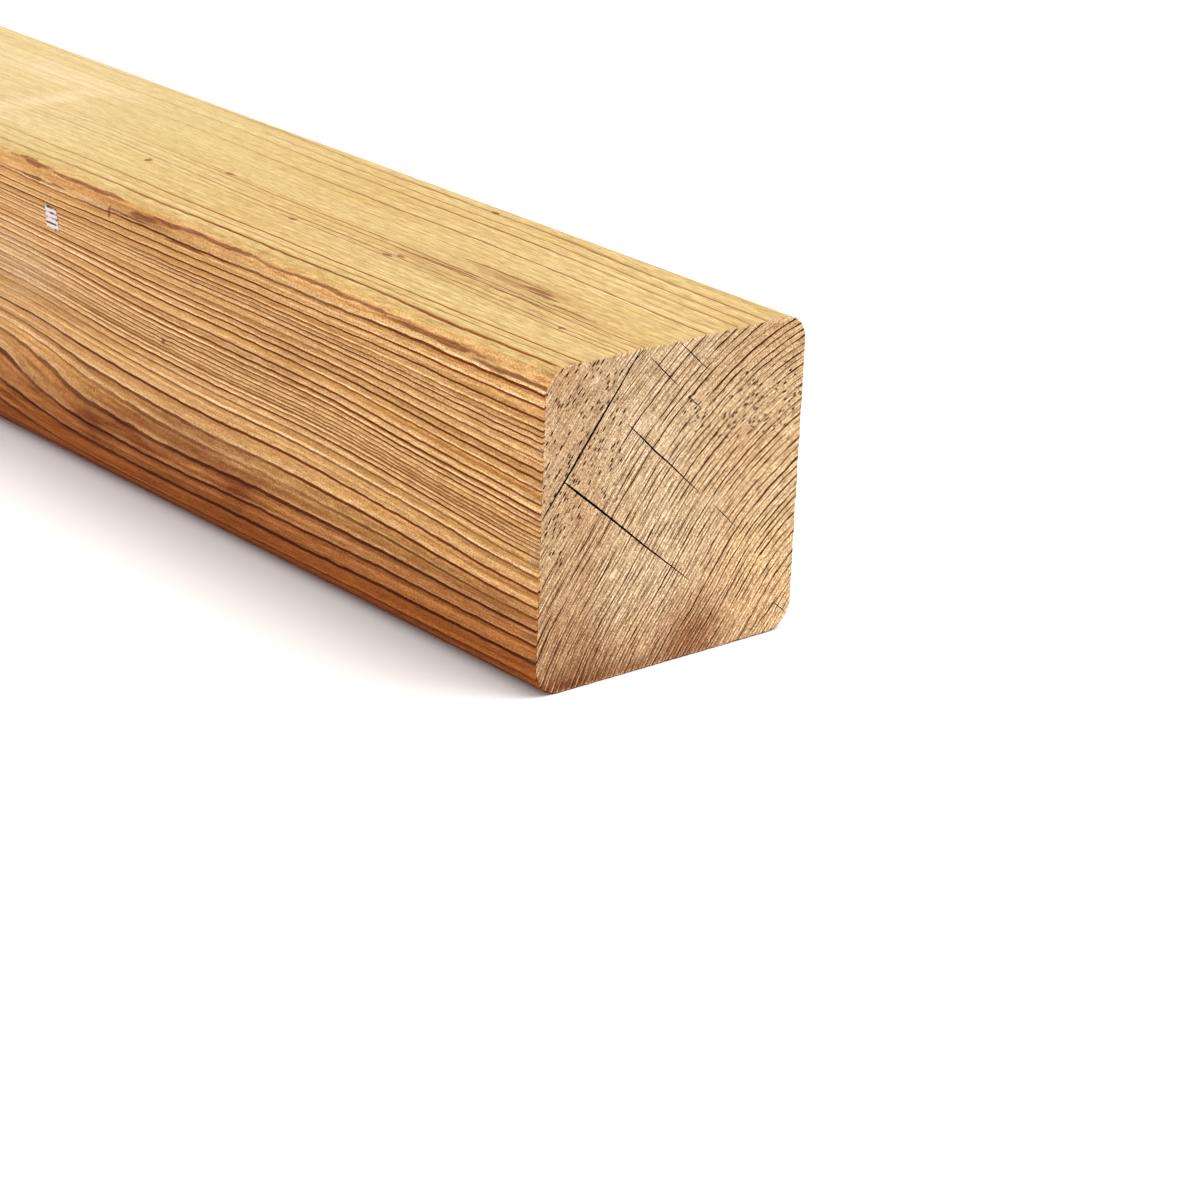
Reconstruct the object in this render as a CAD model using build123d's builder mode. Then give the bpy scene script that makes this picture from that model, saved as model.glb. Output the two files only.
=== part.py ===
from build123d import *
from dataclasses import dataclass
from math import hypot
import os

# Driving dimensions, in millimetres. The post lies along X on its planed face, with its weathered end at +X.
length = 1200.0
width = 90.0
height = 90.0
arris_radius = 8.0
end_easing = 0.6

# A scrap of printed label still sticks to the -Y face.
scrap_length = 6.5
scrap_height = 7.0
scrap_thickness = 0.2
scrap_lean = 1.0
scrap_from_end = 229.0
scrap_below_top = 15.5

# A crack stays this much of its full width halfway out to each tip.
shoulder_share = 0.8

# How far a cut starts outside the end face, so that it opens cleanly, and how wide its root stays.
cut_overrun = 0.5
root_share = 0.12


@dataclass
class Check:
    """A drying crack in the +X end, seen on the end face as a slender leaf.

    start and end are its tips, as shares of the width from the -Y face and of the height from the base.
    widest is how far along it the mouth is widest. mouth is its width there and depth how far it runs in.
    """

    start: tuple
    end: tuple
    widest: float
    mouth: float
    depth: float


# The ring shake follows a growth ring and runs out through the top. The long check follows a ray and opens from it.
ring_shake = Check(start=(0.362, 1.012), end=(0.008, 0.556), widest=0.62, mouth=0.62, depth=46.0)
long_check = Check(start=(0.074, 0.658), end=(0.589, 0.236), widest=0.12, mouth=0.66, depth=60.0)

# The finer checks follow other rays. The last two meet in the lower corner, one along a ring and one along a ray.
middle_check = Check(start=(0.308, 0.785), end=(0.611, 0.507), widest=0.35, mouth=0.42, depth=30.0)
upper_check = Check(start=(0.383, 0.972), end=(0.502, 0.860), widest=0.45, mouth=0.34, depth=18.0)
top_check = Check(start=(0.494, 0.996), end=(0.622, 0.884), widest=0.40, mouth=0.32, depth=16.0)
short_check = Check(start=(0.538, 0.824), end=(0.594, 0.776), widest=0.50, mouth=0.32, depth=10.0)
faint_check = Check(start=(0.655, 0.470), end=(0.768, 0.366), widest=0.45, mouth=0.30, depth=9.0)
corner_shake = Check(start=(0.995, 0.150), end=(0.836, 0.004), widest=0.45, mouth=0.34, depth=14.0)
corner_check = Check(start=(0.933, 0.094), end=(0.990, 0.042), widest=0.30, mouth=0.32, depth=10.0)

checks = [
    ring_shake,
    long_check,
    middle_check,
    upper_check,
    top_check,
    short_check,
    faint_check,
    corner_shake,
    corner_check,
]

end_x = length / 2


def on_section(share):
    """The place on the section, across and up, of a pair of shares of its width and height."""
    across, up = share
    return Vector((across - 0.5) * width, up * height)


def leaf(check, scale):
    """The crack's eight corners, shrunk by scale about its widest point.

    They are the two tips, the widest place and a shoulder halfway from it to each tip, on both sides of the line.
    """
    start = on_section(check.start)
    end = on_section(check.end)
    along = end - start
    middle = start + along * check.widest
    half_mouth = Vector(-along.Y, along.X) * (check.mouth / 2 / hypot(along.X, along.Y))
    near = (start + middle) / 2
    far = (middle + end) / 2
    shoulder = half_mouth * shoulder_share
    one_side = [near + shoulder, middle + half_mouth, far + shoulder]
    other_side = [far - shoulder, middle - half_mouth, near - shoulder]
    corners = [start, *one_side, end, *other_side]
    return [middle + (corner - middle) * scale for corner in corners]


# The post: one length of softwood, sawn square, planed with rounded arrises and docked to length.
with BuildPart() as post:
    with BuildSketch(Plane.YZ.offset(-end_x)) as section:
        with Locations((0, height / 2)):
            RectangleRounded(width, height, arris_radius)
    extrude(amount=length)
    docked_ends = post.faces().filter_by(Axis.X)
    chamfer(docked_ends.edges(), length=end_easing)

    # Each check is a wedge that narrows from its mouth on the end face to a thin root inside the wood.
    for check in checks:
        with BuildSketch(Plane.YZ.offset(end_x + cut_overrun)) as mouth:
            with BuildLine():
                Polyline(*leaf(check, 1.0), close=True)
            make_face()
        with BuildSketch(Plane.YZ.offset(end_x - check.depth)) as root:
            with BuildLine():
                Polyline(*leaf(check, root_share), close=True)
            make_face()
        loft([mouth.sketch, root.sketch], ruled=True, mode=Mode.SUBTRACT)

post.part.label = "post"

# The label scrap: a torn piece of paper stuck flat on the -Y face, near the top arris.
scrap_x = end_x - scrap_from_end
scrap_z = height - scrap_below_top
half_scrap = scrap_length / 2
rise = scrap_height / 2

with BuildPart() as label_scrap:
    with BuildSketch(Plane.XZ.offset(width / 2)):
        with BuildLine():
            Polyline(
                (scrap_x - half_scrap - scrap_lean / 2, scrap_z + rise),
                (scrap_x + half_scrap - scrap_lean, scrap_z + rise * 0.86),
                (scrap_x + half_scrap - scrap_lean / 2, scrap_z + rise * 0.25),
                (scrap_x + half_scrap + scrap_lean / 2, scrap_z - rise),
                (scrap_x - half_scrap + scrap_lean / 2, scrap_z - rise * 0.8),
                close=True,
            )
        make_face()
    extrude(amount=scrap_thickness)

label_scrap.part.label = "label_scrap"

os.makedirs("parts", exist_ok=True)
for piece in (post, label_scrap):
    export_step(piece.part, f"parts/{piece.part.label}.step")
    print(piece.part.label, len(piece.part.solids()), "solid", round(piece.part.volume), "mm3")
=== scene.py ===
import math

import bpy
import numpy as np
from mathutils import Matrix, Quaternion, Vector


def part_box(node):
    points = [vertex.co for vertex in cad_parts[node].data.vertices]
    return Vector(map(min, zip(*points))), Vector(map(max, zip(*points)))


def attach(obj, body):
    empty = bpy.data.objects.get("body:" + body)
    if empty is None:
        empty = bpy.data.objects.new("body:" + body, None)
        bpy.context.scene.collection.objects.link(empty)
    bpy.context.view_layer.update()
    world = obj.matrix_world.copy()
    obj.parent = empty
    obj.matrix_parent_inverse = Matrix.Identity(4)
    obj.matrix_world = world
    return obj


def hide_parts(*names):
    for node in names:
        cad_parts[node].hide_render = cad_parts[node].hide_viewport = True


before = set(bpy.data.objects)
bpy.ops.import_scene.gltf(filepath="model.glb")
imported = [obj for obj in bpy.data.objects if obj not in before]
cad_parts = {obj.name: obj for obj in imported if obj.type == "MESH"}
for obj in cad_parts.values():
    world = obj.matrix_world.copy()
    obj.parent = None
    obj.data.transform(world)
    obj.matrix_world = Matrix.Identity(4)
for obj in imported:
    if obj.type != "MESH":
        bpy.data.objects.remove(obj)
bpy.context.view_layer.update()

# The studio. The post lies on a white sweep under a wide overhead light, with light bounced back from all
# round. The camera stands a metre off its cracked end, a little above it, with a long lens.
MM = 0.001
post_low, post_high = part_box("post")
end_x = post_high.x / MM
length = (post_high.x - post_low.x) / MM
width = (post_high.y - post_low.y) / MM
side_y = -width / 2
height = (post_high.z - post_low.z) / MM


def linear(code):
    """An sRGB hex colour as linear red, green and blue with full alpha."""
    parts = [int(code[i:i + 2], 16) / 255 for i in (1, 3, 5)]
    return [p / 12.92 if p <= 0.04045 else ((p + 0.055) / 1.055) ** 2.4 for p in parts] + [1.0]


def node(tree, kind, feeds=None, out=0, **settings):
    """Adds a shader node, sets its settings, feeds its sockets with values or outputs, and returns an output.

    A Map Range reads socket 0 over the range from 1 to 2 and gives the range from 3 to 4. A Mix takes its
    share from socket 0, and blends numbers from 2 to 3, vectors from 4 to 5 or colours from 6 to 7.
    """
    made = tree.nodes.new("ShaderNode" + kind)
    for name, value in settings.items():
        setattr(made, name, value)
    for socket, value in (feeds or {}).items():
        if isinstance(value, bpy.types.NodeSocket):
            tree.links.new(value, made.inputs[socket])
        else:
            made.inputs[socket].default_value = value
    return made.outputs[out] if made.outputs else None


def material(name):
    """A new material with a bare node tree."""
    made = bpy.data.materials.new(name)
    made.use_nodes = True
    made.node_tree.nodes.clear()
    return made, made.node_tree


scene = bpy.context.scene
scene.view_settings.view_transform = "Standard"
scene.view_settings.look = "None"

camera_from_end = Vector((675.4, -612.4, 376.9))
camera_azimuth = math.radians(48.94)
camera_elevation = math.radians(21.54)
camera_roll = math.radians(2.38)
lens_pixels = 3699.0
frame_pixels = 1200.0

camera_data = bpy.data.cameras.new("camera")
camera_data.sensor_width = 36.0
camera_data.lens = lens_pixels / frame_pixels * camera_data.sensor_width
camera_data.clip_end = 100.0
camera = bpy.data.objects.new("camera", camera_data)
scene.collection.objects.link(camera)
camera.location = (camera_from_end + Vector((end_x, 0, 0))) * MM
looking = Vector((
    -math.sin(camera_azimuth) * math.cos(camera_elevation),
    math.cos(camera_azimuth) * math.cos(camera_elevation),
    -math.sin(camera_elevation),
))
camera.rotation_mode = "QUATERNION"
camera.rotation_quaternion = looking.to_track_quat("-Z", "Y") @ Quaternion((0, 0, 1), camera_roll)
scene.camera = camera

world = bpy.data.worlds.new("white room")
world.use_nodes = True
world.node_tree.nodes["Background"].inputs["Color"].default_value = linear("#ffffff")
world.node_tree.nodes["Background"].inputs["Strength"].default_value = 1.0
scene.world = world

light_strength = 2.0
light_spread = math.radians(38)
light_falls = Vector((-0.34, -0.30, -0.89))
sun_data = bpy.data.lights.new("overhead light", "SUN")
sun_data.energy = light_strength
sun_data.angle = light_spread
sun = bpy.data.objects.new("overhead light", sun_data)
scene.collection.objects.link(sun)
sun.rotation_mode = "QUATERNION"
sun.rotation_quaternion = light_falls.to_track_quat("-Z", "Y")

sweep_reach = 30.0
sweep_mesh = bpy.data.meshes.new("white sweep")
sweep_signs = ((-1, -1), (1, -1), (1, 1), (-1, 1))
sweep_corners = [(over * sweep_reach, back * sweep_reach, 0) for over, back in sweep_signs]
sweep_mesh.from_pydata(sweep_corners, [], [(0, 1, 2, 3)])
sweep = bpy.data.objects.new("white sweep", sweep_mesh)
scene.collection.objects.link(sweep)
sweep_material, tree = material("matt white paper sweep")
paint = node(tree, "BsdfPrincipled", {"Base Color": linear("#f4f4f4"), "Roughness": 0.9})
node(tree, "OutputMaterial", {"Surface": paint})
sweep_mesh.materials.append(sweep_material)

# The post is one length of softwood, sawn square, planed with rounded arrises and docked at both ends. Its
# growth rings are one solid figure, round a pith that lies outside the section, below the +Y face. Sun and
# rain have opened its +X end: the wood there has shrunk and cracked along a ring and along the rays.
arris_radius = 8.0
pith_across = 122.0
pith_up = -73.0

# Ways round the pith are arcs in mm on a ring of this radius.
ring_scale = 170.0

# How wide the rings grew, from the pith outwards: radius in mm and ring width in mm.
growth = [
    (60, 2.6), (100, 2.6), (125, 2.2), (150, 2.0), (170, 1.8), (184, 2.1), (190, 2.1), (194, 1.4),
    (196, 2.7), (199, 2.3), (202, 1.3), (203, 0.75), (206, 0.75), (207, 1.0), (211, 1.2), (213, 1.8),
    (219, 1.5), (221, 0.9), (222.5, 0.9), (224, 2.0), (230, 2.3), (250, 3.2), (330, 3.0),
]
growth_radius, growth_width = np.array(growth).T

# A few rings have a broad, dark latewood line: their outer radius in mm and how dark they are.
bold = [
    (127.0, 0.5), (131.0, 0.6), (135.5, 0.6), (139.5, 0.8), (144.0, 0.7), (150.0, 0.9), (154.5, 0.6),
    (159.0, 0.7), (163.5, 0.8), (168.0, 0.7), (172.5, 0.8), (176.5, 0.9), (181.5, 0.8), (187.0, 0.35),
    (191.5, 0.6), (198.0, 0.6), (209.8, 0.35), (224.6, 0.60), (229.2, 0.80),
]
bold_radius, bold_weight = np.array(bold).T
bold_reach = 0.9

# Good and bad seasons vary the widths, less in the wood near the -Y face and not at all in the outermost
# rings. The rings are counted so that the last bold line is the outer edge of a ring.
fine_step = 0.1
fine_radius = np.arange(60.0, 330.0, fine_step)
season_radius = np.arange(60.0, 332.0, 1.7)
season_draw = np.random.default_rng(11).lognormal(0.0, 0.24, len(season_radius))
season = np.interp(fine_radius, season_radius, season_draw)
season[fine_radius > 184] **= 0.6
season[fine_radius > 222.5] = 1.0
fine_width = np.interp(fine_radius, growth_radius, growth_width) * season
fine_count = np.cumsum(fine_step / fine_width)
fine_count += 1 - np.interp(bold_radius[-1], fine_radius, fine_count) % 1
fine_bold = bold_weight @ np.exp(-((fine_radius - bold_radius[:, None]) / bold_reach) ** 2)


def smooth_step(value, low, high):
    """0 below low and 1 above high, with an easy S curve between."""
    share = np.clip((value - low) / (high - low), 0, 1)
    return share * share * (3 - 2 * share)


# How far the grain on the two faces beside the -Y upper arris has drifted, by the distance from the cracked
# end. It climbs in waves some 170 mm long, settles, and comes back in the far half.
from_end_table = np.arange(0.0, 1400.0, 1.0)
fading = 1 / (1 + np.exp((from_end_table - 330) / 60))
side_slope = (0.047 + 0.031 * np.cos(2 * np.pi * (from_end_table - 45) / 165)) * fading
upper_slope = (0.028 + 0.021 * np.cos(2 * np.pi * (from_end_table - 50) / 170)) * fading
coming_back = 1 - 0.85 * smooth_step(from_end_table, 390, 680)
side_drift = np.cumsum(side_slope) * coming_back
upper_drift = np.cumsum(upper_slope) * coming_back

# The rings aren't quite round: how their line leans off a circle, by the angle round the pith in radians.
lean_angle = np.array([0.0, 0.45, 0.61, 0.70, 0.77, 0.86, 0.96, 1.10, 1.22, 1.60])
lean = np.array([0.0, 0.01, 0.05, -0.05, -0.10, -0.05, 0.02, 0.13, 0.13, 0.0])
angle_step = 0.01
fine_angle = np.arange(0.0, 2.0, angle_step)
fine_oval = np.cumsum(np.interp(fine_angle, lean_angle, lean)) * angle_step


def grain_at(x, y, z):
    """The wood at points in mm: radius from the pith, way round it, ring count, ring width and boldness.

    The radius is the plain distance from the pith, shifted where the grain drifts along the post: lines on
    the -Y face climb away from the cracked end, lines on the upper face move towards +Y, and all of it sways.
    Low on the -Y face, a quarter of a metre from the end, the rings swing up in a flame and crowd together.
    """
    from_end = np.clip(end_x - x, 0, None)
    near_side = 1 - smooth_step(y, -width / 2 + 4, -width / 2 + 34)
    near_upper = smooth_step(z, height - 34, height - 4)
    middle_of_side = np.exp(-((z - 50) / 27) ** 4)
    z_grown = z - np.interp(from_end, from_end_table, side_drift) * middle_of_side * near_side
    y_grown = y - np.interp(from_end, from_end_table, upper_drift) * near_upper * (1 - near_side)
    across = y_grown - pith_across
    up = z_grown - pith_up
    radius = np.hypot(across, up)
    angle = np.arctan2(up, -across)
    radius *= 1 + np.interp(angle, fine_angle, fine_oval)
    away = 1 - np.exp(-(from_end / 430) ** 2)
    radius += away * 1.4 * np.sin(from_end / 97 + 0.021 * y + 0.6)
    radius += away * 0.6 * np.sin(from_end / 43 - 0.03 * z)
    radius += 0.06 * np.sin(from_end / 11.0 + 0.11 * z + 0.07 * y)
    radius += 0.09 * np.sin(from_end / 23.0 - 0.05 * z + 1.9)
    flame = smooth_step(from_end, 205, 290) * (1 - smooth_step(from_end, 330, 500))
    radius -= 1.2 * flame * np.exp(-((z - 31) / 9.0) ** 2) * near_side
    radius -= 3.2 * flame * (1 - smooth_step(z, 16, 40)) * near_side
    radius += 0.15 * np.sin(angle * 23 + radius / 31)
    count = np.interp(radius, fine_radius, fine_count)
    ring_width = np.interp(radius, fine_radius, fine_width)
    bold = np.interp(radius, fine_radius, fine_bold)

    # The bold lines weaken towards the +Y face, and the outermost ones show only beside the -Y upper arris.
    bold *= np.where(radius < 184, 0.35 + 0.65 * smooth_step(angle, 0.70, 0.98), 1)
    bold *= np.where(radius > 228, -0.4 + 1.4 * smooth_step(angle, 0.765, 0.785), 1)
    bold -= 0.15 * flame * near_side * np.exp(-((z - 22) / 10) ** 2)
    return radius, angle * ring_scale, count, ring_width, bold


def edge_rise(half):
    """How far along and in the outline is, and turned, at places along a side, in half sides from its middle.

    The outline is walked at an even pace: straight on the flat, then an eighth of a circle at the arris.
    """
    flat = width / 2 - arris_radius
    reach = np.abs(half) * (flat + arris_radius * math.pi / 4)
    turn = np.clip((reach - flat) / arris_radius, 0, math.pi / 4)
    along = np.minimum(reach, flat) + arris_radius * np.sin(turn)
    return np.sign(half) * along, arris_radius * (1 - np.cos(turn)), np.sign(half) * turn


def section_point(u, v):
    """The outline point, and its outward direction, that the rim point (u, v) of a square is carried to."""
    level = np.abs(v) >= np.abs(u)
    along, inset, turn = edge_rise(np.where(level, u, v))
    reach = width / 2 - inset
    side = np.where(level, np.sign(v), np.sign(u))
    y = np.where(level, along, side * reach)
    z = np.where(level, side * reach, along)
    out_y = np.where(level, np.sin(turn), side * np.cos(turn))
    out_z = np.where(level, side * np.cos(turn), np.sin(turn))
    return y, z, out_y, out_z


def soft_noise(count, reach, seed):
    """A closed row of random numbers between -1 and 1, smoothed over reach neighbours."""
    draw = np.random.default_rng(seed).normal(size=count)
    window = np.hanning(reach + 2)[1:-1]
    row = np.real(np.fft.ifft(np.fft.fft(draw) * np.fft.fft(window, count)))
    return row / np.abs(row).max()


# The grid of each end has this many cells a side. Along the post the steps are fine near the cracked end,
# where the grain swings, and coarse beyond.
cells = 132
rim_count = 4 * cells
near_stretch = 452.0
near_step = 6.0
far_step = 21.0
last_gap = 4.0
steps_near = np.arange(0.0, near_stretch, near_step)
steps_far = np.arange(near_stretch + 2 * near_step, length - last_gap, far_step)
steps = np.concatenate([steps_near, steps_far])

# The rim of the square grid, walked anticlockwise seen from +X, as index pairs (across, up).
low = np.arange(cells)
rim_a = np.concatenate([low, np.full(cells, cells), cells - low, np.zeros(cells, int)])
rim_b = np.concatenate([np.zeros(cells, int), low, np.full(cells, cells), cells - low])
rim_u = rim_a / cells * 2 - 1
rim_v = rim_b / cells * 2 - 1
rim_y, rim_z, rim_out_y, rim_out_z = section_point(rim_u, rim_v)


def latewood_at(x, y, z, middle, reach):
    """How far each point lies in its ring's hard latewood, and the ring's width.

    It is a bell curve of the distance in mm to the ring's outer edge, less middle, over reach.
    """
    _, _, count, ring_width, _ = grain_at(x, y, z)
    phase = count - np.floor(count)
    return np.exp(-(((1 - phase) * ring_width - middle) / reach) ** 2), ring_width


def end_grid(end_side, wear):
    """One cut end: a square grid drawn out to the rounded section, its rim worn back by wear, in mm.

    Each ring of the grid is the outline shrunk towards the middle, and only the outer rings follow the worn
    rim. The saw has left it a little rough, and lower in the soft earlywood than in the latewood.
    """
    a, b = np.meshgrid(np.arange(cells + 1), np.arange(cells + 1), indexing="ij")
    u, v = a / cells * 2 - 1, b / cells * 2 - 1
    ring = np.maximum(np.abs(u), np.abs(v))
    whole = np.maximum(ring, 1e-9)
    y, z, out_y, out_z = section_point(u / whole, v / whole)
    worn = np.zeros_like(ring)
    worn[rim_a, rim_b] = wear
    rim_place = np.zeros((cells + 1, cells + 1), int)
    rim_place[rim_a, rim_b] = np.arange(rim_count)
    nearest_a = np.clip(np.rint((u / whole + 1) / 2 * cells).astype(int), 0, cells)
    nearest_b = np.clip(np.rint((v / whole + 1) / 2 * cells).astype(int), 0, cells)
    back = worn[nearest_a, nearest_b] * ring ** rim_crispness
    y = ring * y - out_y * back
    z = ring * z - out_z * back + height / 2
    late, _ = latewood_at(np.full_like(y, end_side * end_x), y, z, 0.35, 0.45)
    torn = np.random.default_rng(5).random(y.shape)
    dip = 0.10 + 0.06 * (1 - late) + 0.12 * torn ** 3
    return np.stack([end_side * (end_x - dip), y, z], axis=-1)


def long_faces(wear_near, wear_far):
    """The planed surface between the ends: the outline carried along X, sunk between its latewood lines."""
    x = np.repeat((end_x - steps)[:, None], rim_count, axis=1)
    x[0] = end_x - wear_near
    x[-1] = -end_x + wear_far
    y = np.repeat(rim_y[None], len(steps), axis=0)
    z = np.repeat(rim_z[None], len(steps), axis=0) + height / 2
    late, ring_width = latewood_at(x, y, z, 0.4, 0.6)
    sunk = 0.02 + 0.06 * (1 - late) * smooth_step(ring_width, 1.6, 2.2)
    return np.stack([x, y - rim_out_y * sunk, z - rim_out_z * sunk], axis=-1)


# The rims are worn back by about 0.4 mm: fine nicks, and at the cracked end broader dents as well.
rim_crispness = 60
least_wear = 0.06
wear_near = 0.40 + 0.20 * soft_noise(rim_count, 3, 1) + 0.16 * soft_noise(rim_count, 11, 4)
wear_near += 0.2 * soft_noise(rim_count, 37, 2)
wear_near = np.clip(wear_near, least_wear, 1.2)
wear_far = np.clip(0.35 + 0.2 * soft_noise(rim_count, 7, 3), least_wear, 1.0)
face_gap = 0.05

near_end = end_grid(1, wear_near).reshape(-1, 3)
far_end = end_grid(-1, wear_far).reshape(-1, 3)
tube = long_faces(wear_near + face_gap, wear_far + face_gap).reshape(-1, 3)
points = np.concatenate([near_end, far_end, tube])

near_rim = rim_a * (cells + 1) + rim_b
far_rim = len(near_end) + near_rim
tube_rims = len(near_end) + len(far_end) + np.arange(len(steps) * rim_count).reshape(len(steps), rim_count)
rims = np.concatenate([near_rim[None], tube_rims, far_rim[None]])
behind, ahead = rims[:-1], rims[1:]
belt = np.stack([behind, ahead, np.roll(ahead, -1, axis=1), np.roll(behind, -1, axis=1)], axis=-1)
belt = belt.reshape(-1, 4)
corner = np.arange(cells)[:, None] * (cells + 1) + np.arange(cells)[None]
near_quads = np.stack([corner, corner + cells + 1, corner + cells + 2, corner + 1], axis=-1).reshape(-1, 4)
far_quads = near_quads[:, ::-1] + len(near_end)
quads = np.concatenate([near_quads, far_quads, belt])


def place_in_mm(tree):
    """The place on the part, in mm."""
    return node(tree, "VectorMath", {0: node(tree, "TexCoord", out=3), "Scale": 1 / MM}, operation="SCALE")


def wood_facts(tree):
    """What the mesh tells a material: grain, then red, pale and grime with painted shade and highlight, then
    ring count, width and boldness.
    """
    grain = node(tree, "Attribute", attribute_name="grain", out=1)
    tone = node(tree, "SeparateXYZ", {0: node(tree, "Attribute", attribute_name="tone", out=1)})
    rings = node(tree, "SeparateXYZ", {0: node(tree, "Attribute", attribute_name="rings", out=1)})
    return grain, tone.node.outputs, rings.node.outputs


# Rings narrower than this are drawn as if this wide, in mm, so that their lines show.
least_drawn = 1.25


def in_ring(tree, count, ring_width):
    """The way in mm to the ring's outer edge and past its inner one, and a random number for its year."""
    phase = node(tree, "Math", {0: count}, operation="FRACT")
    left_over = node(tree, "Math", {0: 1.0, 1: phase}, operation="SUBTRACT")
    drawn_width = node(tree, "Math", {0: ring_width, 1: least_drawn}, operation="MAXIMUM")
    to_edge = node(tree, "Math", {0: left_over, 1: drawn_width}, operation="MULTIPLY")
    past_edge = node(tree, "Math", {0: phase, 1: drawn_width}, operation="MULTIPLY")
    year = node(tree, "Math", {0: count}, operation="FLOOR")
    return to_edge, past_edge, node(tree, "TexWhiteNoise", {"W": year}, noise_dimensions="1D")


def tint_of(tree, noise, low, high):
    """A tint that runs from low to high as noise goes from 0.3 to 0.7, where nearly all of it lies."""
    share = node(tree, "MapRange", {0: noise, 1: 0.30, 2: 0.70})
    return node(tree, "Mix", {0: share, 4: low, 5: high}, 1, data_type="VECTOR")


def tinted(tree, wood, amount, low, high):
    """The wood's colour multiplied by a tint that runs from low to high as amount goes from 0 to 1."""
    tint = node(tree, "Mix", {0: amount, 4: low, 5: high}, 1, data_type="VECTOR")
    return node(tree, "VectorMath", {0: wood, 1: tint}, operation="MULTIPLY")


def spotted(tree, place, spots, heart, full):
    """How much a place lies in soft oval spots, each full out to heart and nothing at spot_edge of its reach.

    A spot is its distance from the cracked end, its place across and up, and its reach along, across and up.
    """
    most = 0.0
    for back, over, rise, long, wide, tall in spots:
        away = node(tree, "VectorMath", {0: place, 1: (end_x - back, over, rise)}, operation="SUBTRACT")
        away = node(tree, "VectorMath", {0: away, 1: (1 / long, 1 / wide, 1 / tall)}, operation="MULTIPLY")
        away = node(tree, "VectorMath", {0: away}, 1, operation="LENGTH")
        spot = {0: away, 1: spot_edge, 2: heart, 3: 0.0, 4: full}
        spot = node(tree, "MapRange", spot, interpolation_type="SMOOTHSTEP")
        most = node(tree, "Math", {0: most, 1: spot}, operation="MAXIMUM")
    return most


# Planed softwood, bare and weathered: golden earlywood with thin, resinous latewood lines and a dull, silky
# skin. The three numbers that stretch a pattern are its features per mm across the rings, along them and
# along the post. Real fibres are some 0.03 mm thick, so they are drawn ten times as coarse to show.
plain = (1.0, 1.0, 1.0)
planed, tree = material("planed weathered softwood")
grain, (red_and_shade, pale_and_highlight, grime_and_shade), (ring, ring_width, bold) = wood_facts(tree)
here = place_in_mm(tree)
place = node(tree, "SeparateXYZ", {0: here})
along, across, up = place.node.outputs
from_end = node(tree, "Math", {0: end_x, 1: along}, operation="SUBTRACT")

# The skin and the lines are roughest at the cracked end and calm down away from it.
worn = node(tree, "MapRange", {0: from_end, 1: 60.0, 2: 330.0, 3: 1.0, 4: 0.45})
worn_lines = node(tree, "MapRange", {0: from_end, 1: 80.0, 2: 300.0, 3: 1.0, 4: 0.70})

# Rings wander by a tenth or two of a millimetre over a few centimetres. Each ends in a dark line of latewood,
# whose width in mm is kept where the rings are crowded, with a paler skirt on its inner side.
line_edge, line_core = 0.42, 0.29
skirt_edge, skirt_core = 1.30, 0.30
slow = node(tree, "VectorMath", {0: grain, 1: (0.10, 0.10, 0.012)}, operation="MULTIPLY")
wander = node(tree, "TexNoise", {"Vector": slow, "Scale": 1.0, "Detail": 1.0})
wander = node(tree, "MapRange", {0: wander, 1: 0.0, 2: 1.0, 3: -0.30, 4: 0.30})
quick = node(tree, "VectorMath", {0: grain, 1: (0.5, 0.5, 0.045)}, operation="MULTIPLY")
tremble = node(tree, "TexNoise", {"Vector": quick, "Scale": 1.0, "Detail": 2.0})
tremble = node(tree, "MapRange", {0: tremble, 1: 0.0, 2: 1.0, 3: -0.08, 4: 0.08})
sway = node(tree, "Math", {0: wander, 1: tremble}, operation="ADD")
ripple_at = node(tree, "VectorMath", {0: grain, 1: (0.06, 0.09, 0.17)}, operation="MULTIPLY")
ripple = node(tree, "TexNoise", {"Vector": ripple_at, "Scale": 1.0, "Detail": 1.0})
ripple = node(tree, "MapRange", {0: ripple, 1: 0.0, 2: 1.0, 3: -0.16, 4: 0.16})
sway = node(tree, "Math", {0: ripple, 1: sway}, operation="ADD")
sway = node(tree, "Math", {0: sway, 1: ring_width}, operation="DIVIDE")
count = node(tree, "Math", {0: sway, 1: ring}, operation="ADD")
to_edge, past_edge, year = in_ring(tree, count, ring_width)
core = node(tree, "MapRange", {0: to_edge, 1: line_edge, 2: line_core, 3: 0.0, 4: 1.0})
skirt = {0: to_edge, 1: skirt_edge, 2: skirt_core, 3: 0.0, 4: 0.24}
skirt = node(tree, "MapRange", skirt, interpolation_type="SMOOTHSTEP")
late = node(tree, "Math", {0: core, 1: skirt}, operation="ADD")
strength = node(tree, "MapRange", {0: year, 1: 0.0, 2: 1.0, 3: 0.62, 4: 1.14})
strength = node(tree, "Math", {0: bold, 1: 0.35, 2: strength}, operation="MULTIPLY_ADD")
strength = node(tree, "Math", {0: strength, 1: worn_lines}, operation="MULTIPLY")
year_upper = node(tree, "Math", {0: year, 1: 2.5}, operation="POWER")
year_upper = node(tree, "MapRange", {0: year_upper, 1: 0.0, 2: 1.0, 3: 0.22, 4: 0.80})
year_upper = node(tree, "Math", {0: bold, 1: 0.9, 2: year_upper}, operation="MULTIPLY_ADD")
patch = node(tree, "VectorMath", {0: grain, 1: (0.3, 0.3, 0.014)}, operation="MULTIPLY")
patch = node(tree, "TexNoise", {"Vector": patch, "Scale": 1.0, "Detail": 2.0})
fade = node(tree, "MapRange", {0: patch, 1: 0.35, 2: 0.62, 3: 0.70, 4: 1.15})
late = node(tree, "Math", {0: late, 1: fade}, operation="MULTIPLY")
line = node(tree, "Math", {0: late, 1: strength}, operation="MULTIPLY", use_clamp=True)

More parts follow.
